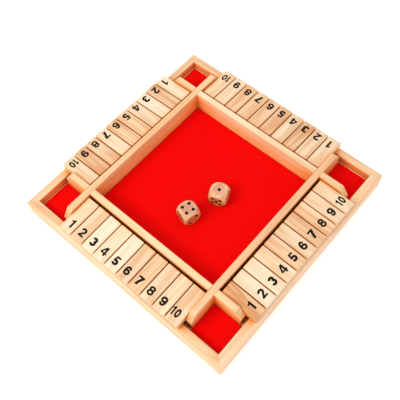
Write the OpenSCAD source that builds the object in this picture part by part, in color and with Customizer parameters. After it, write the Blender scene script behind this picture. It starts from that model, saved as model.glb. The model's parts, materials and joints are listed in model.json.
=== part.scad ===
// Four-player shut the box game: a square tray with a dice arena in the middle
// and a row of ten hinged number tiles on each side. All sizes are in millimetres.
// The front row runs along X, Z is up, and the origin lies under the tray's centre.

/* [Outer tray] */
// Outside width of the square tray
tray_w = 225; // [215:1:260]
// Thickness of the four outer rails
rail_t = 8.5; // [7:0.5:12]
// Height of the outer rails
rail_h = 18.5; // [17:0.5:20]
// Radius of the rounded upper outside edge of the rails
rail_round = 3; // [0.5:0.25:5]
// Bevel of the other long edges of the rails
rail_bevel = 0.5; // [0.2:0.1:1]

/* [Base] */
// Thickness of the base panel
panel_t = 4; // [3:0.5:5]
// Height of the underside of the base panel above the table
panel_z = 6; // [3:0.5:8]
// Depth of the groove in the rails that holds the base panel
groove_depth = 4; // [2:0.5:5]
// Thickness of the red lining
lining_t = 1; // [0.5:0.25:2]
// Bare strip between the lining and the outer rails
lining_strip = 1.5; // [1:0.5:5]
// Bare line between the lining and the inner boards
lining_line = 0.4; // [0.2:0.1:1.5]

/* [Inner boards] */
// Thickness of the inner boards and of the cheeks
board_t = 5.8; // [5:0.1:7]
// Height of the top of the inner boards above the table
board_top = 31.2; // [30:0.2:34]
// Gap between the end of a cheek and the outer rail
cheek_gap = 3.2; // [1:0.1:6]
// Length of the slope at the end of a cheek
slope_run = 6.6; // [2:0.1:10]
// Height that the slope loses
slope_drop = 9.4; // [2:0.1:12]
// Radius of the bend between the top of a cheek and its slope
slope_round = 4; // [1:0.5:6]
// Bevel along the top edges of the boards and cheeks
board_bevel = 0.4; // [0.2:0.1:1]

/* [Tiles] */
// Length of a number tile
tile_l = 35.5; // [30:0.5:36]
// How far the outer end of a tile stays inside the outside of the tray
tile_inset = 1.6; // [0.5:0.1:4]
// Thickness of a number tile
tile_t = 8.2; // [6:0.1:9]
// Gap between two tiles
tile_gap = 0.9; // [0.3:0.1:2]
// Radius of the rounded upper edge at the outer end of a tile
tile_round = 1.2; // [0.8:0.1:3]
// Radius of the rounded lower edge at the outer end of a tile
tile_under_round = 1; // [0.5:0.1:2]
// Radius of the upright corners of a tile
tile_corner = 0.9; // [0.5:0.1:2]
// Bevel of the other edges of a tile
tile_bevel = 0.45; // [0.1:0.05:0.8]

/* [Hinges] */
// Diameter of the steel hinge rods
rod_d = 3; // [2:0.1:4]
// Distance from the middle of a rod to the inner end of its tiles
heel_l = 4.5; // [3.5:0.1:6]
// Height of the rods above the table
rod_z = 24.2; // [23:0.1:26]
// Depth of the blind holes that hold the ends of a rod
rod_seat = 3.5; // [2:0.1:4.5]

/* [Dice] */
// Edge length of the dice
die_w = 16; // [12:0.5:18]
// Diameter of the ball that rounds the corners of a die
die_ball = 21.3; // [20:0.1:24]
// Distance of the pips from the middle line of a face
pip_step = 3.4; // [2.5:0.1:4]
// Width of a pip
pip_w = 2.5; // [1.5:0.1:3]
// Depth of a pip
pip_depth = 0.5; // [0.2:0.1:0.8]

/* [Fits] */
// Gap round the base panel in its groove, and at the ends of the rods
fit_gap = 0.1; // [0.05:0.05:0.2]
// Clearance on the radius between a rod and its blind holes
seat_clear = 0.03; // [0.01:0.01:0.05]
// Running clearance on the radius between a rod and the bores of its tiles
bore_clear = 0.06; // [0.02:0.01:0.1]
// Gap that keeps a tile just off its stops
stop_gap = 0.25; // [0.15:0.05:0.4]
// Gap between the heel of a turning tile and the inner board
heel_gap = 0.5; // [0.3:0.1:1]

/* [Hidden] */
$fn = 48;
cut = 1; // how far a cutter reaches past the face that it opens
tiles = 10; // tiles in a row
sides = ["front", "right", "back", "left"];

// Distances from the centre, across a row: the length of the tiles sets the arena's width.
half_w = tray_w / 2;
rail_in = half_w - rail_t; // inside of a rail
tile_reach = tile_l - heel_l; // from a rod to the outer end of its tiles
heel_r = norm([heel_l, tile_t / 2]);
rod_off = half_w - tile_inset - tile_reach;
board_out = rod_off - heel_r - heel_gap; // tile side of an inner board
arena_h = board_out - board_t; // arena side of an inner board
arena_w = 2 * arena_h;
cheek_end = rail_in - cheek_gap;

// Heights above the table
panel_top = panel_z + panel_t;
floor_z = panel_top + lining_t;
slope_low = board_top - slope_drop;
slope_angle = atan2(slope_drop, slope_run);
slope_bend = slope_round * tan(slope_angle / 2); // from the corner to where the bend starts
bend_steps = 8;

// Tiles share the row between two cheeks.
tile_pitch = arena_w / tiles;
tile_w = tile_pitch - tile_gap;
rod_l = arena_w + 2 * (rod_seat - fit_gap);

// Tilt of a tile whose underside lies on a point that is dx further out and dz higher than the rod
function tilt_on(dx, dz) = atan2(dz, dx) + asin((tile_t / 2 + stop_gap) / norm([dx, dz]));
// At rest it lies on the flat top of the rail: on its inner edge or where the rounding starts.
rest_tilt = max(tilt_on(rail_in - rod_off, rail_h - rod_z),
                tilt_on(half_w - rail_round - rod_off, rail_h - rod_z));
// Shut, its numbered face leans on the top edge of the inner board.
shut_dx = board_out - rod_off;
shut_dz = board_top - rod_z;
shut_tilt = atan2(shut_dz, shut_dx) - asin((tile_t / 2 + stop_gap) / norm([shut_dx, shut_dz]));

// Dice: where the centre stands in the arena, and the turn about Z
die_four_at = [5.2, -27.8];
die_four_turn = 74;
die_one_at = [14, 3.4];
die_one_turn = 20.5;
pip_r = (pow(pip_w / 2, 2) + pow(pip_depth, 2)) / (2 * pip_depth);

function tile_name(side, number) = str("tile_", side, "_", number);
function row_turn(side) = 90 * search([side], sides)[0];

// Shared shapes

// What a rounding takes off an outline's corner: turn 0 is a lower left corner, 90 a lower right one.
module round_off(at, turn, r) {
    translate(at)
        rotate(turn)
            difference() {
                translate([-cut, -cut]) square(r + cut);
                translate([r, r]) circle(r = r);
            }
}

// The same for a straight bevel.
module bevel_off(at, turn, b) {
    translate(at)
        rotate(turn)
            polygon([[-cut, -cut], [b + cut, -cut], [-cut, b + cut]]);
}

// An outline drawn in X and Z, as thick as a board, with the top edges bevelled from x0 to x1.
module board_from(outline, x0, x1) {
    difference() {
        rotate([90, 0, 0])
            linear_extrude(board_t, center = true) polygon(outline);
        for (edge = [[-1, 270], [1, 180]])
            translate([x0 - cut, edge[0] * board_t / 2, board_top])
                rotate([90, 0, 90])
                    linear_extrude(x1 - x0 + 2 * cut) bevel_off([0, 0], edge[1], board_bevel);
    }
}

// Blind hole for the end of a rod, drilled along +Y from the origin.
module rod_hole() {
    rotate([-90, 0, 0])
        translate([0, 0, -cut]) cylinder(r = rod_d / 2 + seat_clear, h = rod_seat + cut);
}

module wood(tone = 0) {
    color([0.95 - 0.03 * tone, 0.82 - 0.05 * tone, 0.62 - 0.07 * tone]) children();
}

// Tray

module rail_outline() {
    difference() {
        square([rail_t, rail_h]);
        round_off([0, rail_h], 270, rail_round);
        bevel_off([0, 0], 0, rail_bevel);
        bevel_off([rail_t, 0], 90, rail_bevel);
        bevel_off([rail_t, rail_h], 180, rail_bevel);
        translate([rail_t - groove_depth, panel_z - fit_gap])
            square([groove_depth + cut, panel_t + 2 * fit_gap]);
    }
}

// A length of rail with both ends cut to a mitre.
module outer_rail(side) {
    wood(1)
        rotate([0, 0, row_turn(side)])
            intersection() {
                translate([-half_w, -half_w, 0])
                    rotate([90, 0, 90]) linear_extrude(tray_w) rail_outline();
                linear_extrude(rail_h)
                    polygon([[-half_w, -half_w], [half_w, -half_w], [rail_in, -rail_in],
                             [-rail_in, -rail_in]]);
            }
}

module base_panel() {
    panel_w = 2 * (rail_in + groove_depth - fit_gap);
    wood(2)
        translate([-panel_w / 2, -panel_w / 2, panel_z]) cube([panel_w, panel_w, panel_t]);
}

// One sheet in the arena and one in each corner compartment.
module red_lining() {
    arena_sheet = arena_w - 2 * lining_line;
    corner_from = board_out + lining_line;
    corner_sheet = rail_in - lining_strip - corner_from;
    color([0.86, 0.06, 0.06])
        translate([0, 0, panel_top])
            linear_extrude(lining_t) {
                square(arena_sheet, center = true);
                for (turn = [0 : 90 : 270])
                    rotate(turn)
                        translate([corner_from, corner_from]) square(corner_sheet);
            }
}

// Inner boards

// Outline of the sloped end of a cheek, from its foot up to its top.
function slope_end() = concat(
    [[cheek_end, panel_top], [cheek_end, slope_low]],
    [for (step = [0 : bend_steps])
        let (a = 90 - slope_angle * (1 - step / bend_steps))
            [cheek_end - slope_run - slope_bend + slope_round * cos(a),
             board_top - slope_round + slope_round * sin(a)]]);

// Board between the arena and the rows at its sides, long enough to make cheeks of its two ends.
module long_board(side) {
    right_end = slope_end();
    left_end = [for (i = [len(right_end) - 1 : -1 : 0]) [-right_end[i].x, right_end[i].y]];
    outline = concat(right_end, left_end);
    wood()
        rotate([0, 0, side == "right" ? 90 : -90])
            translate([0, -(arena_h + board_t / 2), 0])
                difference() {
                    board_from(outline, -cheek_end, cheek_end);
                    for (end = [-1, 1])
                        translate([end * rod_off, board_t / 2, rod_z]) mirror([0, 1, 0]) rod_hole();
                }
}

// Board that closes the arena between the two long ones.
module short_board(side) {
    outline = [[-arena_h, panel_top], [arena_h, panel_top], [arena_h, board_top],
               [-arena_h, board_top]];
    wood()
        translate([0, (side == "front" ? -1 : 1) * (arena_h + board_t / 2), 0])
            board_from(outline, -arena_h, arena_h);
}

// Short board that ends a side row and stands against a long board.
module cheek(side, end) {
    outline = concat(slope_end(), [[board_out, board_top], [board_out, panel_top]]);
    wood()
        mirror([side == "left" ? 1 : 0, 0, 0])
            mirror([0, end == "back" ? 1 : 0, 0])
                translate([0, -(arena_h + board_t / 2), 0])
                    difference() {
                        board_from(outline, board_out, cheek_end);
                        translate([rod_off, board_t / 2, rod_z]) mirror([0, 1, 0]) rod_hole();
                    }
}

// Hinged rows

module hinge_rod(side) {
    color("silver")
        rotate([0, 0, row_turn(side)])
            translate([0, -rod_off, rod_z])
                rotate([0, 90, 0]) cylinder(d = rod_d, h = rod_l, center = true);
}

// Side view of a tile: X runs from the rod to the outer end, Y is up.
module tile_outline() {
    difference() {
        translate([-heel_l, -tile_t / 2]) square([tile_l, tile_t]);
        round_off([tile_reach, tile_t / 2], 180, tile_round);
        round_off([tile_reach, -tile_t / 2], 90, tile_under_round);
        bevel_off([-heel_l, -tile_t / 2], 0, tile_bevel);
        bevel_off([-heel_l, tile_t / 2], 270, tile_bevel);
    }
}

// Plan of a tile, with its four upright corners rounded.
module tile_plan() {
    difference() {
        translate([-heel_l, -tile_w / 2]) square([tile_l, tile_w]);
        round_off([-heel_l, -tile_w / 2], 0, tile_corner);
        round_off([tile_reach, -tile_w / 2], 90, tile_corner);
        round_off([tile_reach, tile_w / 2], 180, tile_corner);
        round_off([-heel_l, tile_w / 2], 270, tile_corner);
    }
}

// End view of a tile, with its four long edges bevelled.
module tile_section() {
    difference() {
        square([tile_t, tile_w], center = true);
        for (x = [-1, 1], y = [-1, 1])
            mirror([x > 0 ? 1 : 0, 0])
                mirror([0, y > 0 ? 1 : 0])
                    bevel_off([-tile_t / 2, -tile_w / 2], 0, tile_bevel);
    }
}

module tile(side, number) {
    along = (number - 0.5) * tile_pitch - arena_h;
    wood((number * 3) % 4 / 2)
        rotate([0, 0, row_turn(side)])
            translate([along, -rod_off, rod_z])
                rotate([90, 0, -90])
                    rotate([0, 0, rest_tilt])
                        difference() {
                            intersection() {
                                linear_extrude(tile_w, center = true) tile_outline();
                                rotate([90, 0, 0])
                                    linear_extrude(tile_t, center = true) tile_plan();
                                translate([-heel_l - cut, 0, 0])
                                    rotate([90, 0, 90])
                                        linear_extrude(tile_l + 2 * cut) tile_section();
                            }
                            cylinder(r = rod_d / 2 + bore_clear, h = tile_w + 2 * cut, center = true);
                        }
}

// Dice

// Places of the pips for a number, in steps from the middle of the face
function pips(number) = concat(
    number % 2 == 1 ? [[0, 0]] : [],
    number > 1 ? [[1, 1], [-1, -1]] : [],
    number > 3 ? [[1, -1], [-1, 1]] : [],
    number == 6 ? [[0, 1], [0, -1]] : []);

// Opposite faces of a die add up to seven.
module die(top, front, right) {
    faces = [[top, [0, 0, 0]], [7 - top, [180, 0, 0]], [front, [90, 0, 0]], [right, [90, 0, 90]],
             [7 - front, [90, 0, 180]], [7 - right, [90, 0, 270]]];
    wood()
        difference() {
            intersection() {
                cube(die_w, center = true);
                sphere(d = die_ball);
            }
            for (face = faces)
                rotate(face[1])
                    for (place = pips(face[0]))
                        translate([place.x * pip_step, place.y * pip_step,
                                   die_w / 2 - pip_depth + pip_r])
                            sphere(r = pip_r);
        }
}

module die_four() {
    translate([die_four_at.x, die_four_at.y, floor_z + die_w / 2])
        rotate([0, 0, die_four_turn]) die(4, 2, 1);
}

module die_one() {
    translate([die_one_at.x, die_one_at.y, floor_z + die_w / 2])
        rotate([0, 0, die_one_turn]) die(1, 5, 4);
}

for (side = sides) {
    outer_rail(side);
    hinge_rod(side);
    for (number = [1 : tiles])
        tile(side, number);
}
base_panel();
red_lining();
long_board("left");  // long_board_left
long_board("right");  // long_board_right
short_board("front");  // short_board_front
short_board("back");  // short_board_back
cheek("left", "front");  // cheek_left_front
cheek("left", "back");  // cheek_left_back
cheek("right", "front");  // cheek_right_front
cheek("right", "back");  // cheek_right_back
die_four();
die_one();
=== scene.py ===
import json
import math
import random

import bmesh
import bpy
from mathutils import Matrix, Vector
from mathutils.geometry import delaunay_2d_cdt


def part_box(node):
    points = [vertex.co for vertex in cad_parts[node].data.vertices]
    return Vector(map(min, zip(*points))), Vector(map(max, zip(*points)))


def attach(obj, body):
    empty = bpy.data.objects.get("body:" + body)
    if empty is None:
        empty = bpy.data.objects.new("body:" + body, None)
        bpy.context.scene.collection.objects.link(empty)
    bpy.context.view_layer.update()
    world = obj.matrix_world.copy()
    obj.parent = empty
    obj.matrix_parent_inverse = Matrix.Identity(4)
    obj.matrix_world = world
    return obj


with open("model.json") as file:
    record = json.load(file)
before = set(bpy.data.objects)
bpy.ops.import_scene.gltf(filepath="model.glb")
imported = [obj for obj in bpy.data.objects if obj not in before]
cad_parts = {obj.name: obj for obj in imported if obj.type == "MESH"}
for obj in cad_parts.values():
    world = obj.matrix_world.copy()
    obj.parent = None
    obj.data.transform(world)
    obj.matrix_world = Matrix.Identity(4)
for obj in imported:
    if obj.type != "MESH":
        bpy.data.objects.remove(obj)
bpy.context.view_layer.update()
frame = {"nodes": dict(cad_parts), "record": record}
print("frame loaded:", len(frame["nodes"]), "nodes")

mm = 0.001
sides = ["front", "right", "back", "left"]
tilesInRow = 10
slotOf = {part["node"]: part["material_slot"] for part in frame["record"]["subparts"]}


# Camera

cameraView = {
    "focal": 52.0,  # mm, on a 36 mm sensor
    "place": (174.5 * mm, -184.4 * mm, 464.5 * mm),
    "yaw": -44.53,  # degrees to the right of +Y
    "pitch": 61.5,  # degrees below the horizon
    "roll": -3.93,
}


def addCamera(look):
    data = bpy.data.cameras.new("photoCamera")
    data.lens = look["focal"]
    data.clip_start, data.clip_end = 0.01, 20
    camera = bpy.data.objects.new("photoCamera", data)
    bpy.context.scene.collection.objects.link(camera)
    turn = (Matrix.Rotation(math.radians(-look["yaw"]), 4, "Z")
            @ Matrix.Rotation(math.radians(90 - look["pitch"]), 4, "X")
            @ Matrix.Rotation(math.radians(look["roll"]), 4, "Z"))
    camera.matrix_world = Matrix.Translation(look["place"]) @ turn
    bpy.context.scene.camera = camera


addCamera(cameraView)


# Node helpers, for materials and for Geometry Nodes

def addNode(tree, kind, inputs=None, **settings):
    node = tree.nodes.new(kind)
    for key, value in settings.items():
        setattr(node, key, value)
    for key, value in (inputs or {}).items():
        socket = node.inputs[key]
        if isinstance(value, bpy.types.NodeSocket):
            tree.links.new(value, socket)
        else:
            socket.default_value = value
    return node


def calc(tree, operation, *values):
    node = addNode(tree, "ShaderNodeMath", dict(enumerate(values)), operation=operation)
    return node.outputs[0]


def mixColors(tree, factor, first, second, blend="MIX"):
    inputs = {"Factor": factor, 6: first, 7: second}
    node = addNode(tree, "ShaderNodeMix", inputs, data_type="RGBA", blend_type=blend)
    return node.outputs[2]


def stretchValue(tree, value, source, target=(0, 1)):
    inputs = {"Value": value, "From Min": source[0], "From Max": source[1],
              "To Min": target[0], "To Max": target[1]}
    return addNode(tree, "ShaderNodeMapRange", inputs).outputs[0]


def addSocket(tree, name, kind, direction="INPUT", value=None):
    socket = tree.interface.new_socket(name, in_out=direction, socket_type=kind)
    if value is not None:
        socket.default_value = value
    return socket


def startMaterial(name, **shader):
    material = bpy.data.materials.new(name)
    material.use_nodes = True
    surface = material.node_tree.nodes["Principled BSDF"]
    for key, value in shader.items():
        surface.inputs[key.replace("_", " ")].default_value = value
    return material, material.node_tree, surface


# Wood

woodGrainAndPaintedLight = {  # sizes in metres, along the grain and across it
    "fibre": (30 * mm, 0.8 * mm),
    "band": (120 * mm, 6 * mm),
    "bandCount": 2.6,  # growth lines in one step of the band pattern
    "patch": (55 * mm, 14 * mm),
    "fleck": (3.2 * mm, 0.35 * mm),
    "fleckFrom": (0.66, 0.8),  # noise at which a fleck starts, and at which it is full
    "fleckMost": 0.22,
    "fleckColor": (0.42, 0.2, 0.08),
    "shares": {"fibre": 0.7, "lines": 0.42, "patch": 0.9},  # how much each darkens the wood
    "linePower": 2.5,
    "endGrain": (0.38, 0.235, 0.165),
    "endFrom": (0.75, 0.97),  # how squarely a face cuts the grain
    "endMost": 0.85,
    # painted highlight: the wood is lighter along sharp edges, where light catches them
    "edgeHighlightFrom": (0.01, 0.15),  # how sharply an edge bends, where the painted highlight starts and where it is full
    "edgeHighlightMost": 0.55,
    "roughness": (0.6, 0.42),
    "poreScale": 1500.0,
    "edgeRadius": 0.35 * mm,
    "reliefDepth": 0.05 * mm,
    "reliefStrength": 0.35,
    # painted shade: the wood is darkened and tinted orange in corners, gaps and at the foot of walls, by
    # ambient occlusion
    "paintedShadeReach": 25 * mm,
    "noPaintedShadeFrom": (107 * mm, 111 * mm),  # the outsides get no painted shade beyond these distances from the middle of the tray
    "paintedShadeTints": [(0.0, (0.30, 0.06, 0.012)), (0.2, (0.78, 0.30, 0.08)), (0.55, (1.16, 0.73, 0.31))],
    "paintedShadeEnd": 0.95,  # from here on the wood gets no painted shade and keeps its own colour
}


# the wood's grain, with painted shade in corners and a painted highlight along sharp edges
def makeGrainGroup(grain):
    tree = bpy.data.node_groups.new("woodGrainAndPaintedLight", "ShaderNodeTree")
    addSocket(tree, "Place", "NodeSocketVector")
    addSocket(tree, "Light", "NodeSocketColor")
    addSocket(tree, "Dark", "NodeSocketColor")
    addSocket(tree, "EndGrain", "NodeSocketColor")
    addSocket(tree, "Facing", "NodeSocketFloat", value=0.0)
    addSocket(tree, "Edge", "NodeSocketFloat", value=0.0)
    addSocket(tree, "ShadeFree", "NodeSocketFloat", value=1.0)
    addSocket(tree, "Figure", "NodeSocketFloat", value=1.0)
    addSocket(tree, "Color", "NodeSocketColor", "OUTPUT")
    addSocket(tree, "Height", "NodeSocketFloat", "OUTPUT")
    given = addNode(tree, "NodeGroupInput").outputs
    result = addNode(tree, "NodeGroupOutput").inputs

    def streaks(size, detail, distortion=0.0):
        scale = (1 / size[0], 1 / size[1], 1 / size[1])
        place = addNode(tree, "ShaderNodeVectorMath", {0: given["Place"], 1: scale}, operation="MULTIPLY")
        inputs = {"Vector": place.outputs[0], "Scale": 1.0, "Detail": detail, "Distortion": distortion}
        return addNode(tree, "ShaderNodeTexNoise", inputs).outputs[0]

    fibre = streaks(grain["fibre"], 3.0)
    band = streaks(grain["band"], 1.5, 0.4)
    patch = streaks(grain["patch"], 1.0)
    fleck = streaks(grain["fleck"], 1.0)
    wave = calc(tree, "SINE", calc(tree, "MULTIPLY", band, 2 * math.pi * grain["bandCount"]))
    lines = calc(tree, "POWER", calc(tree, "MULTIPLY_ADD", wave, 0.5, 0.5), grain["linePower"])
    shares = grain["shares"]
    shade = calc(tree, "MULTIPLY_ADD", fibre, shares["fibre"], -0.25)
    shade = calc(tree, "MULTIPLY_ADD", lines, shares["lines"], shade)
    shade = calc(tree, "MULTIPLY_ADD", patch, shares["patch"], calc(tree, "SUBTRACT", shade, 0.42))
    shade = calc(tree, "MULTIPLY", shade, given["Figure"])
    limited = addNode(tree, "ShaderNodeClamp", {"Value": shade}).outputs[0]
    color = mixColors(tree, limited, given["Light"], given["Dark"])
    spots = stretchValue(tree, fleck, grain["fleckFrom"], (0, grain["fleckMost"]))
    color = mixColors(tree, spots, color, (*grain["fleckColor"], 1))
    cut = stretchValue(tree, calc(tree, "ABSOLUTE", given["Facing"]), grain["endFrom"], (0, grain["endMost"]))
    pores = addNode(tree, "ShaderNodeTexNoise", {"Vector": given["Place"], "Scale": grain["poreScale"],
                                                 "Detail": 2.0}).outputs[0]
    ends = mixColors(tree, calc(tree, "MULTIPLY", pores, 0.5), given["EndGrain"], color)
    color = mixColors(tree, cut, color, ends)
    # painted highlight: the colour turns towards the light tone along sharp edges
    paintedEdgeHighlight = stretchValue(tree, given["Edge"], grain["edgeHighlightFrom"], (0, grain["edgeHighlightMost"]))
    color = mixColors(tree, paintedEdgeHighlight, color, given["Light"])
    # painted shade: the colour is multiplied by darker, warmer tints where little of the sky is open
    shade = addNode(tree, "ShaderNodeValToRGB", {"Fac": given["ShadeFree"]})
    stops = shade.color_ramp.elements
    stops[1].position, stops[1].color = grain["paintedShadeEnd"], (1, 1, 1, 1)
    stops[0].position, stops[0].color = 0.0, (*grain["paintedShadeTints"][0][1], 1)
    for place, tint in grain["paintedShadeTints"][1:]:
        stops.new(place).color = (*tint, 1)
    tree.links.new(mixColors(tree, 1.0, color, shade.outputs["Color"], "MULTIPLY"), result["Color"])
    relief = calc(tree, "MULTIPLY_ADD", lines, 0.3, fibre)
    tree.links.new(calc(tree, "MULTIPLY_ADD", fleck, -0.5, relief), result["Height"])
    return tree


grainGroup = makeGrainGroup(woodGrainAndPaintedLight)


def woodFinish(name, along, light, dark, seed, figure, shadeFreeGain):
    material, tree, surface = startMaterial(name, Coat_Weight=0.02, Coat_Roughness=0.35,
                                            Specular_IOR_Level=0.16)
    turn = {"X": (0, 0, 0), "Y": (0, 0, math.pi / 2), "Z": (0, math.pi / 2, 0)}[along]
    shift = [random.Random(seed + axis).uniform(-3, 3) for axis in range(3)]
    coordinates = addNode(tree, "ShaderNodeTexCoord").outputs
    place = addNode(tree, "ShaderNodeMapping", {"Vector": coordinates["Object"], "Location": shift,
                                                "Rotation": turn})
    normal = addNode(tree, "ShaderNodeSeparateXYZ", {0: coordinates["Normal"]})
    grain = addNode(tree, "ShaderNodeGroup", node_tree=grainGroup)
    tree.links.new(normal.outputs[along], grain.inputs["Facing"])
    grain.inputs["EndGrain"].default_value = (*woodGrainAndPaintedLight["endGrain"], 1)
    tree.links.new(place.outputs[0], grain.inputs["Place"])
    grain.inputs["Light"].default_value = (*light, 1)
    grain.inputs["Dark"].default_value = (*dark, 1)
    grain.inputs["Figure"].default_value = figure
    tree.links.new(grain.outputs["Color"], surface.inputs["Base Color"])
    rough = stretchValue(tree, grain.outputs["Height"], (0, 1.2), woodGrainAndPaintedLight["roughness"])
    tree.links.new(rough, surface.inputs["Roughness"])
    # the bevel's bend marks sharp edges for the painted highlight; its normal also rounds them for the bump
    rounded = addNode(tree, "ShaderNodeBevel", {"Radius": woodGrainAndPaintedLight["edgeRadius"]}, samples=4)
    flat = addNode(tree, "ShaderNodeNewGeometry").outputs["Normal"]
    bend = addNode(tree, "ShaderNodeVectorMath", {0: rounded.outputs[0], 1: flat}, operation="DOT_PRODUCT")
    tree.links.new(calc(tree, "SUBTRACT", 1.0, bend.outputs["Value"]), grain.inputs["Edge"])
    # painted shade from ambient occlusion; the outsides far from the middle of the tray get none
    corners = addNode(tree, "ShaderNodeAmbientOcclusion", {"Distance": woodGrainAndPaintedLight["paintedShadeReach"]}, samples=6)
    apart = addNode(tree, "ShaderNodeSeparateXYZ", {0: coordinates["Object"]})
    out = calc(tree, "MAXIMUM", calc(tree, "ABSOLUTE", apart.outputs["X"]),
               calc(tree, "ABSOLUTE", apart.outputs["Y"]))
    noPaintedShade = stretchValue(tree, out, woodGrainAndPaintedLight["noPaintedShadeFrom"])
    shadeFreeShare = calc(tree, "MULTIPLY", corners.outputs["AO"], shadeFreeGain)
    tree.links.new(calc(tree, "MAXIMUM", shadeFreeShare, noPaintedShade), grain.inputs["ShadeFree"])
    bump = addNode(tree, "ShaderNodeBump", {"Strength": woodGrainAndPaintedLight["reliefStrength"],
                                            "Distance": woodGrainAndPaintedLight["reliefDepth"],
                                            "Height": grain.outputs["Height"],
                                            "Normal": rounded.outputs[0]})
    tree.links.new(bump.outputs[0], surface.inputs["Normal"])
    return material


woodTones = {  # linear colours, light then dark, for each of the record's finishes
    "rail_wood": ((0.80, 0.55, 0.345), (0.62, 0.31, 0.14)),
    "board_wood": ((0.82, 0.56, 0.325), (0.68, 0.34, 0.14)),
    "panel_wood": ((0.94, 0.69, 0.43), (0.84, 0.54, 0.30)),
    "tile_wood_cream": ((0.795, 0.60, 0.41), (0.60, 0.33, 0.15)),
    "tile_wood_peach": ((0.775, 0.535, 0.33), (0.58, 0.265, 0.11)),
    "tile_wood_pale": ((0.82, 0.665, 0.48), (0.68, 0.41, 0.21)),
    "die_wood": ((0.60, 0.37, 0.28), (0.33, 0.15, 0.10)),
}
nodeTints = {  # boards cut from a paler or a redder plank than the rest
    "short_board_back": (1.0, 1.15, 1.32),
    "long_board_right": (0.96, 0.88, 0.88),
    "long_board_left": (0.98, 0.98, 0.98),
}


woodVariety = {
    "seed": 11,
    "tone": 0.045,  # how far a piece may be lighter or darker than its finish
    "figure": (0.8, 1.2),
    "slotFigure": {"tile_wood_pale": 0.75, "tile_wood_peach": 1.3},  # how bold the grain is
    "slotShadeFreeGain": {"panel_wood": 2.6, "die_wood": 0.8},  # above 1, corners get less painted shade and stay lighter
}


def paint(node, material):
    mesh = frame["nodes"][node].data
    mesh.materials.clear()
    mesh.materials.append(material)


def longestWay(node):
    low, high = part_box(node)
    size = high - low
    return "XYZ"[max(range(3), key=lambda axis: size[axis])]


diceFaces = {  # the turn about Z, then the numbers on top, in front and on the right
    "die_four": (74, 4, 2, 1),
    "die_one": (20.5, 1, 5, 4),
}
dieRim = {"from": 9.2 * mm, "to": 10.5 * mm, "tint": (1.22, 1.36, 1.22)}  # distances from the middle


def paleRims(material, node):  # the rounded rims of a die are made paler than its faces
    tree = material.node_tree
    surface = tree.nodes["Principled BSDF"]
    wood = surface.inputs["Base Color"].links[0].from_socket
    low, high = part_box(node)
    place = addNode(tree, "ShaderNodeTexCoord").outputs["Object"]
    away = addNode(tree, "ShaderNodeVectorMath", {0: place, 1: (low + high) / 2}, operation="DISTANCE")
    share = stretchValue(tree, away.outputs["Value"], (dieRim["from"], dieRim["to"]))
    pale = mixColors(tree, share, wood, (*dieRim["tint"], 1), "MULTIPLY")
    tree.links.new(pale, surface.inputs["Base Color"])


def dressWood(variety):
    draws = random.Random(variety["seed"])
    made = 0
    for node in sorted(frame["nodes"]):
        tones = woodTones.get(slotOf[node])
        if tones is None:
            continue
        along = "X" if node == "base_panel" else longestWay(node)
        lift = draws.uniform(-variety["tone"], variety["tone"])
        tint = nodeTints.get(node, (1, 1, 1))
        light, dark = ([value * part * (1 + lift) for value, part in zip(tone, tint)] for tone in tones)
        figure = draws.uniform(*variety["figure"]) * variety["slotFigure"].get(slotOf[node], 1.0)
        shadeFreeGain = variety["slotShadeFreeGain"].get(slotOf[node], 1.0)
        seed = draws.randint(1, 9999)
        finish = woodFinish(f"{slotOf[node]}_{node}", along, light, dark, seed, figure, shadeFreeGain)
        if node in diceFaces:
            paleRims(finish, node)
        paint(node, finish)
        made += 1
    print("wood finishes:", made)


dressWood(woodVariety)


# Lining, rods, ink and paint

baize = {
    "colors": ((0.68, 0.0015, 0.001), (0.76, 0.0025, 0.002)),
    "fuzzScale": 2600.0,
    "cloudScale": 45.0,
    "fuzzDepth": 0.08 * mm,
}
steel = {
    "colors": ((0.52, 0.52, 0.54), (0.70, 0.70, 0.72)),
    "marks": (60.0, 5200.0),  # drawing marks, along the rod and across it
    "roughness": (0.22, 0.42),
}
ink = {
    "colors": ((0.004, 0.003, 0.003), (0.016, 0.013, 0.011)),
    "grainScale": 1800.0,
    "grainDepth": 0.03 * mm,
    "numberRoughness": 0.65,
    "pipRoughness": 0.5,
}


def mixPair(tree, factor, colors):
    return mixColors(tree, factor, (*colors[0], 1), (*colors[1], 1))


def redBaize():
    material, tree, surface = startMaterial("redBaize", Roughness=0.9, Sheen_Weight=0.01,
                                            Sheen_Roughness=0.5, Specular_IOR_Level=0.02)
    coordinates = addNode(tree, "ShaderNodeTexCoord").outputs["Object"]
    fuzz = addNode(tree, "ShaderNodeTexNoise", {"Vector": coordinates, "Scale": baize["fuzzScale"],
                                                "Detail": 3.0})
    cloud = addNode(tree, "ShaderNodeTexNoise", {"Vector": coordinates, "Scale": baize["cloudScale"],
                                                 "Detail": 2.0})
    mixed = calc(tree, "MULTIPLY_ADD", fuzz.outputs[0], 0.5, calc(tree, "MULTIPLY", cloud.outputs[0], 0.5))
    tree.links.new(mixPair(tree, mixed, baize["colors"]), surface.inputs["Base Color"])
    bump = addNode(tree, "ShaderNodeBump", {"Strength": 0.3, "Distance": baize["fuzzDepth"],
                                            "Height": fuzz.outputs[0]})
    tree.links.new(bump.outputs[0], surface.inputs["Normal"])
    return material


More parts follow.
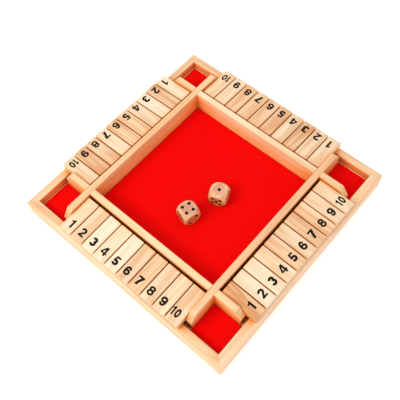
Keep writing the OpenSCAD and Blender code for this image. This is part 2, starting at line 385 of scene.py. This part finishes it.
def drawnSteel(along):
    material, tree, surface = startMaterial("drawnSteel" + along, Metallic=1.0)
    coordinates = addNode(tree, "ShaderNodeTexCoord").outputs["Object"]
    stretch = [steel["marks"][axis != along] for axis in "XYZ"]
    place = addNode(tree, "ShaderNodeMapping", {"Vector": coordinates, "Scale": stretch})
    marks = addNode(tree, "ShaderNodeTexNoise", {"Vector": place.outputs[0], "Scale": 1.0, "Detail": 2.0})
    tree.links.new(mixPair(tree, marks.outputs[0], steel["colors"]), surface.inputs["Base Color"])
    rough = stretchValue(tree, marks.outputs[0], (0, 1), steel["roughness"])
    tree.links.new(rough, surface.inputs["Roughness"])
    return material


def blackPrint(name, roughness):
    material, tree, surface = startMaterial(name, Roughness=roughness, Specular_IOR_Level=0.06)
    coordinates = addNode(tree, "ShaderNodeTexCoord").outputs["Object"]
    grains = addNode(tree, "ShaderNodeTexNoise", {"Vector": coordinates, "Scale": ink["grainScale"],
                                                  "Detail": 2.0})
    tree.links.new(mixPair(tree, grains.outputs[0], ink["colors"]), surface.inputs["Base Color"])
    bump = addNode(tree, "ShaderNodeBump", {"Strength": 0.15, "Distance": ink["grainDepth"],
                                            "Height": grains.outputs[0]})
    tree.links.new(bump.outputs[0], surface.inputs["Normal"])
    return material


paint("red_lining", redBaize())
for side in sides:
    paint("hinge_rod_" + side, drawnSteel("X" if side in ("front", "back") else "Y"))
numberInk = blackPrint("numberInk", ink["numberRoughness"])
pipPaint = blackPrint("pipPaint", ink["pipRoughness"])
print("lining, rods, ink and paint ready")


# Numbers on the tiles: strokes in a box that is one digit high

numberPrint = {
    "height": 8.2 * mm,
    "width": 0.73,  # of one digit, as a share of its height
    "strokes": (0.24, 0.235, 0.235, 0.26, 0.225, 0.255, 0.225, 0.27, 0.215, 0.225),  # of 0 to 9
    "pairScale": (0.72, 0.95),  # the two digits of 10 are set narrower and lower
    "pairGap": 0.2,
    "fromEnd": {"front": 9.1 * mm, "right": 10.6 * mm, "back": 8.8 * mm, "left": 7.8 * mm},
    "drift": {"front": (0.5 * mm, -1.9 * mm), "right": (0.5 * mm, 0.3 * mm),
              "back": (0.5 * mm, -0.1 * mm), "left": (-0.5 * mm, -0.8 * mm)},  # first tile, last tile
    "proud": 0.03 * mm,
    "sunk": 0.03 * mm,
    "arcSteps": 14,
}
digitW = numberPrint["width"]


def arc(cx, cy, rx, ry, start, end):
    steps = max(2, round(numberPrint["arcSteps"] * abs(end - start) / 180))
    turns = [math.radians(start + (end - start) * i / steps) for i in range(steps + 1)]
    return [(cx + rx * math.cos(a), cy + ry * math.sin(a)) for a in turns]


def ribbon(points, width):
    closed = math.dist(points[0], points[-1]) < 1e-6
    places = [Vector(p) for p in points]
    edges = []
    for i, place in enumerate(places):
        before = places[i - 1] if i else places[-2] if closed else None
        after = places[i + 1] if i + 1 < len(places) else places[1] if closed else None
        ways = [(place - before).normalized()] if before is not None else []
        ways += [(after - place).normalized()] if after is not None else []
        way = sum(ways, Vector((0, 0))).normalized()
        across = Vector((-way.y, way.x)) * width / 2 / max(0.5, way.dot(ways[0]))
        edges.append((place + across, place - across))
    return [[a[0], b[0], b[1], a[1]] for a, b in zip(edges, edges[1:])]


def digitFaces(digit):
    w, s = digitW, numberPrint["strokes"][digit]
    h = s / 2
    top, foot, mid = 1 - h, h, 0.53
    cx, rx = w / 2, w / 2 - h
    upper = (cx, (top + mid) / 2, rx * 0.93, (top - mid) / 2)
    lower = (cx, (mid + foot) / 2, rx, (mid - foot) / 2)
    if digit == 0:
        return ribbon(arc(cx, 0.5, rx, 0.5 - h, 0, 360), s)
    if digit == 1:
        return [[(0.36, 0), (0.36 + s, 0), (0.36 + s, 1), (0.42, 1), (0.36, 0.90), (0.27, 0.84),
                 (0.14, 0.82), (0.14, 0.68), (0.36, 0.68)]]
    if digit == 2:
        bend = arc(cx, 0.69, rx, top - 0.69, 178, -40)
        return ribbon(bend + [(0.17, 0.12)], s) + [[(0, 0), (w, 0), (w, 0.19), (0.03, 0.19)]]
    if digit == 3:
        return ribbon(arc(*upper, 168, -90), s) + ribbon(arc(*lower, 90, -168), s)
    if digit == 4:
        return [[(0.40, 0), (0.40 + s, 0), (0.40 + s, 1), (0.40, 1)],
                [(-0.02, 0.205), (w + 0.02, 0.205), (w + 0.02, 0.37), (-0.02, 0.37)],
                [(-0.02, 0.37), (0.18, 0.37), (0.40, 0.70), (0.40, 1), (0.35, 1)]]
    if digit == 5:
        bowl = (cx - 0.01, 0.33, rx, 0.33 - h)
        return (ribbon(arc(*bowl, 145, -165), s)
                + [[(0.12, 0.81), (0.67, 0.81), (0.67, 1), (0.12, 1)],
                   [(0.03, 0.42), (0.25, 0.42), (0.31, 0.86), (0.12, 0.86)]])
    if digit == 6:
        return (ribbon(arc(cx, 0.325, rx, 0.325 - h, 0, 360), s)
                + ribbon(arc(cx, 0.5, rx, 0.5 - h, 200, 28), s))
    if digit == 7:
        return [[(0.01, 0.80), (w, 0.80), (w, 1), (0.01, 1)],
                [(0.11, 0), (0.39, 0), (0.50, 0.40), (w, 0.83), (0.41, 0.83), (0.20, 0.42)]]
    if digit == 8:
        return ribbon(arc(*upper, 0, 360), s) + ribbon(arc(*lower, 0, 360), s)
    return [[(w - x, 1 - y) for x, y in face] for face in digitFaces(6)]


def numberFaces(number):
    if number < 10:
        return [[(x - digitW / 2, y - 0.5) for x, y in face] for face in digitFaces(number)]
    narrow, low = numberPrint["pairScale"]
    oneLeft, oneWidth = 0.14, 0.22 + numberPrint["strokes"][1]
    whole = oneWidth + numberPrint["pairGap"] + digitW
    faces = [[(x - oneLeft - whole / 2, y - 0.5) for x, y in face] for face in digitFaces(1)]
    faces += [[(x + whole / 2 - digitW, y - 0.5) for x, y in face] for face in digitFaces(0)]
    return [[(x * narrow, y * low) for x, y in face] for face in faces]


def numberMesh(number):
    points, faces = [], []
    for face in numberFaces(number):
        area = sum(a[0] * b[1] - b[0] * a[1] for a, b in zip(face, face[1:] + face[:1]))
        faces.append(list(range(len(points), len(points) + len(face))))
        points += [Vector(p) for p in (face if area > 0 else reversed(face))]
    flat = delaunay_2d_cdt(points, [], faces, 0, 1e-4)
    shape = bmesh.new()
    corners = [shape.verts.new((*(p * numberPrint["height"]), 0)) for p in flat[0]]
    for face, source in zip(flat[2], flat[5]):
        if source:
            shape.faces.new([corners[i] for i in face])
    bmesh.ops.delete(shape, geom=[v for v in shape.verts if not v.link_faces], context="VERTS")
    bmesh.ops.dissolve_limit(shape, angle_limit=0.001, verts=shape.verts, edges=shape.edges)
    film = numberPrint["proud"] + numberPrint["sunk"]
    grown = bmesh.ops.extrude_face_region(shape, geom=shape.faces[:])
    raised = [item for item in grown["geom"] if isinstance(item, bmesh.types.BMVert)]
    bmesh.ops.translate(shape, verts=raised, vec=(0, 0, film))
    bmesh.ops.translate(shape, verts=shape.verts, vec=(0, 0, -numberPrint["sunk"]))
    bmesh.ops.recalc_face_normals(shape, faces=shape.faces)
    mesh = bpy.data.meshes.new(f"number{number}")
    shape.to_mesh(mesh)
    shape.free()
    return mesh


def tileTop(node):
    mesh = frame["nodes"][node].data
    face = max(mesh.polygons, key=lambda f: (f.normal.z > 0.9) * f.area)
    return mesh.vertices[face.vertices[0]].co.copy(), face.normal.copy()


def numberTiles():
    for turn, side in enumerate(sides):
        outward = Matrix.Rotation(turn * math.pi / 2, 3, "Z") @ Vector((0, -1, 0))
        drift = numberPrint["drift"][side]
        for number in range(1, tilesInRow + 1):
            node = f"tile_{side}_{number}"
            low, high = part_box(node)
            anchor, normal = tileTop(node)
            up = (-outward - normal * normal.dot(-outward)).normalized()
            right = up.cross(normal)
            end = max((v.co.dot(outward) for v in frame["nodes"][node].data.vertices))
            middle = (low + high) / 2
            place = middle + outward * (end - numberPrint["fromEnd"][side] - middle.dot(outward))
            place += right * (drift[0] + (drift[1] - drift[0]) * (number - 1) / (tilesInRow - 1))
            place += normal * (anchor - place).dot(normal) / normal.dot(normal)
            mesh = numberMesh(number)
            mesh.transform(Matrix.Translation(place) @ Matrix((right, up, normal)).transposed().to_4x4())
            mesh.materials.append(numberInk)
            piece = bpy.data.objects.new(f"number_{side}_{number}", mesh)
            bpy.context.scene.collection.objects.link(piece)
            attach(piece, node)
    print("numbers printed:", len(sides) * tilesInRow)


numberTiles()


# Pips on the dice

pipShape = {
    "step": 3.4 * mm,
    "width": 2.5 * mm,
    "depth": 0.5 * mm,
    "film": 0.05 * mm,  # paint over the hollow, and as much again into the wood
    "rim": 0.04 * mm,  # the paint runs over the rim and stands this proud
    "spread": 0.08,  # how much wider than the hollow's outer ring the paint ends
    "segments": 20,
    "rings": 17,  # so that one ring lies at the rim of the hollow
    "weld": 0.002 * mm,
}
pipLayout = {
    1: [(0, 0)],
    2: [(1, 1), (-1, -1)],
    3: [(0, 0), (1, 1), (-1, -1)],
    4: [(1, 1), (-1, -1), (1, -1), (-1, 1)],
    5: [(0, 0), (1, 1), (-1, -1), (1, -1), (-1, 1)],
    6: [(1, 1), (-1, -1), (1, -1), (-1, 1), (0, 1), (0, -1)],
}


def makePipTree():
    tree = bpy.data.node_groups.new("pips", "GeometryNodeTree")
    addSocket(tree, "Geometry", "NodeSocketGeometry")
    for name in ("Width", "Depth", "Film", "Rim", "Spread"):
        addSocket(tree, name, "NodeSocketFloat", value=pipShape[name.lower()])
    addSocket(tree, "Paint", "NodeSocketMaterial")
    addSocket(tree, "Geometry", "NodeSocketGeometry", "OUTPUT")
    given = addNode(tree, "NodeGroupInput").outputs
    result = addNode(tree, "NodeGroupOutput").inputs
    half = calc(tree, "MULTIPLY", given["Width"], 0.5)
    squares = calc(tree, "MULTIPLY_ADD", half, half, calc(tree, "MULTIPLY", given["Depth"], given["Depth"]))
    radius = calc(tree, "DIVIDE", squares, calc(tree, "MULTIPLY", given["Depth"], 2.0))
    centre = calc(tree, "SUBTRACT", radius, given["Depth"])
    inner = calc(tree, "SUBTRACT", radius, given["Film"])
    ball = addNode(tree, "GeometryNodeMeshUVSphere", {"Segments": pipShape["segments"],
                                                      "Rings": pipShape["rings"], "Radius": inner})
    lifted = addNode(tree, "ShaderNodeCombineXYZ", {"Z": centre})
    placed = addNode(tree, "GeometryNodeTransform", {"Geometry": ball.outputs[0],
                                                     "Translation": lifted.outputs[0]})
    position = addNode(tree, "GeometryNodeInputPosition").outputs[0]
    height = addNode(tree, "ShaderNodeSeparateXYZ", {0: position})
    above = calc(tree, "GREATER_THAN", height.outputs["Z"], calc(tree, "MULTIPLY", given["Depth"], 0.5))
    cut = addNode(tree, "GeometryNodeDeleteGeometry", {"Geometry": placed.outputs[0], "Selection": above},
                  domain="FACE")
    level = calc(tree, "MINIMUM", height.outputs["Z"], given["Rim"])
    beyond = calc(tree, "GREATER_THAN", height.outputs["Z"], given["Film"])
    wider = calc(tree, "MULTIPLY_ADD", beyond, given["Spread"], 1.0)
    outX = calc(tree, "MULTIPLY", height.outputs["X"], wider)
    outY = calc(tree, "MULTIPLY", height.outputs["Y"], wider)
    flattened = addNode(tree, "ShaderNodeCombineXYZ", {"X": outX, "Y": outY, "Z": level})
    bowl = addNode(tree, "GeometryNodeSetPosition", {"Geometry": cut.outputs[0],
                                                     "Position": flattened.outputs[0]})
    thick = calc(tree, "MULTIPLY", given["Film"], 2.0)
    back = addNode(tree, "GeometryNodeExtrudeMesh", {"Mesh": bowl.outputs[0], "Offset Scale": thick,
                                                     "Individual": False})
    front = addNode(tree, "GeometryNodeFlipFaces", {"Mesh": bowl.outputs[0]})
    both = addNode(tree, "GeometryNodeJoinGeometry")
    tree.links.new(back.outputs[0], both.inputs[0])
    tree.links.new(front.outputs[0], both.inputs[0])
    whole = addNode(tree, "GeometryNodeMergeByDistance", {"Geometry": both.outputs[0],
                                                          "Distance": pipShape["weld"]})
    facing = addNode(tree, "GeometryNodeInputNamedAttribute", {"Name": "facing"}, data_type="FLOAT_VECTOR")
    turned = addNode(tree, "FunctionNodeAlignRotationToVector", {"Vector": facing.outputs[0]}, axis="Z")
    copies = addNode(tree, "GeometryNodeInstanceOnPoints", {"Points": given["Geometry"],
                                                            "Instance": whole.outputs[0],
                                                            "Rotation": turned.outputs[0]})
    real = addNode(tree, "GeometryNodeRealizeInstances", {"Geometry": copies.outputs[0]})
    smooth = addNode(tree, "GeometryNodeSetShadeSmooth", {"Geometry": real.outputs[0]})
    finished = addNode(tree, "GeometryNodeSetMaterial", {"Geometry": smooth.outputs[0],
                                                         "Material": given["Paint"]})
    tree.links.new(finished.outputs[0], result["Geometry"])
    return tree


def pipPoints(node):
    turn, top, ahead, right = diceFaces[node]
    low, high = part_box(node)
    centre, reach = (low + high) / 2, (high - low).z / 2
    about = Matrix.Rotation(math.radians(turn), 3, "Z")
    tips = [(top, 0, 0), (7 - top, 180, 0), (ahead, 90, 0), (right, 90, 90), (7 - ahead, 90, 180),
            (7 - right, 90, 270)]
    places, facings = [], []
    for number, tip, spin in tips:
        spun = about @ Matrix.Rotation(math.radians(spin), 3, "Z")
        pose = spun @ Matrix.Rotation(math.radians(tip), 3, "X")
        for x, y in pipLayout[number]:
            places.append(centre + pose @ Vector((x * pipShape["step"], y * pipShape["step"], reach)))
            facings.append(pose @ Vector((0, 0, 1)))
    return places, facings


def setInput(modifier, tree, name, value):
    socket = next(item for item in tree.interface.items_tree if item.name == name and item.in_out == "INPUT")
    modifier[socket.identifier] = value


def paintPips():
    tree = makePipTree()
    for node in diceFaces:
        places, facings = pipPoints(node)
        mesh = bpy.data.meshes.new("pipPoints")
        mesh.from_pydata(places, [], [])
        facing = mesh.attributes.new("facing", "FLOAT_VECTOR", "POINT")
        facing.data.foreach_set("vector", [value for way in facings for value in way])
        piece = bpy.data.objects.new("pips_" + node, mesh)
        bpy.context.scene.collection.objects.link(piece)
        modifier = piece.modifiers.new("pips", "NODES")
        modifier.node_group = tree
        for name in ("Width", "Depth", "Film", "Rim", "Spread"):
            setInput(modifier, tree, name, pipShape[name.lower()])
        setInput(modifier, tree, "Paint", pipPaint)
        ready = piece.evaluated_get(bpy.context.evaluated_depsgraph_get())
        made = bpy.data.meshes.new_from_object(ready)
        piece.modifiers.clear()
        piece.data = made
        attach(piece, node)
        print("pips on", node, len(places), "points,", len(made.polygons), "faces")


paintPips()


# Floor and light

studio = {
    "floor": (0.93, 0.93, 0.93),
    "floorSize": 6.0,
    "floorDrop": 0.1 * mm,
    "glow": 0.22,  # a backdrop lit from behind
    "sky": 0.98,
    "keyPower": 6.9,
    "keyPlace": (-0.28, -0.74, 0.92),
    "keySize": 0.5,
    "fillPower": 1.2,
    "fillPlace": (0.7, -0.7, 0.5),
    "fillSize": 1.0,
}


def addLight(name, power, place, size):
    data = bpy.data.lights.new(name, "AREA")
    data.energy, data.size = power, size
    light = bpy.data.objects.new(name, data)
    light.location = place
    light.rotation_euler = (-Vector(place)).to_track_quat("-Z", "Y").to_euler()
    bpy.context.scene.collection.objects.link(light)


def setStudio(look):
    half, low = look["floorSize"] / 2, -look["floorDrop"]
    mesh = bpy.data.meshes.new("floor")
    corners = [(-half, -half, low), (half, -half, low), (half, half, low), (-half, half, low)]
    mesh.from_pydata(corners, [], [(0, 1, 2, 3)])
    material, tree, surface = startMaterial("floorPaper", Roughness=0.7, Emission_Strength=look["glow"])
    surface.inputs["Base Color"].default_value = (*look["floor"], 1)
    surface.inputs["Emission Color"].default_value = (1, 1, 1, 1)
    mesh.materials.append(material)
    floor = bpy.data.objects.new("floor", mesh)
    bpy.context.scene.collection.objects.link(floor)
    world = bpy.data.worlds.new("studio")
    world.use_nodes = True
    world.node_tree.nodes["Background"].inputs["Color"].default_value = (1, 1, 1, 1)
    world.node_tree.nodes["Background"].inputs["Strength"].default_value = look["sky"]
    bpy.context.scene.world = world
    bpy.context.scene.view_settings.view_transform = "Standard"
    addLight("keyLight", look["keyPower"], look["keyPlace"], look["keySize"])
    addLight("fillLight", look["fillPower"], look["fillPlace"], look["fillSize"])


setStudio(studio)
print("studio ready")
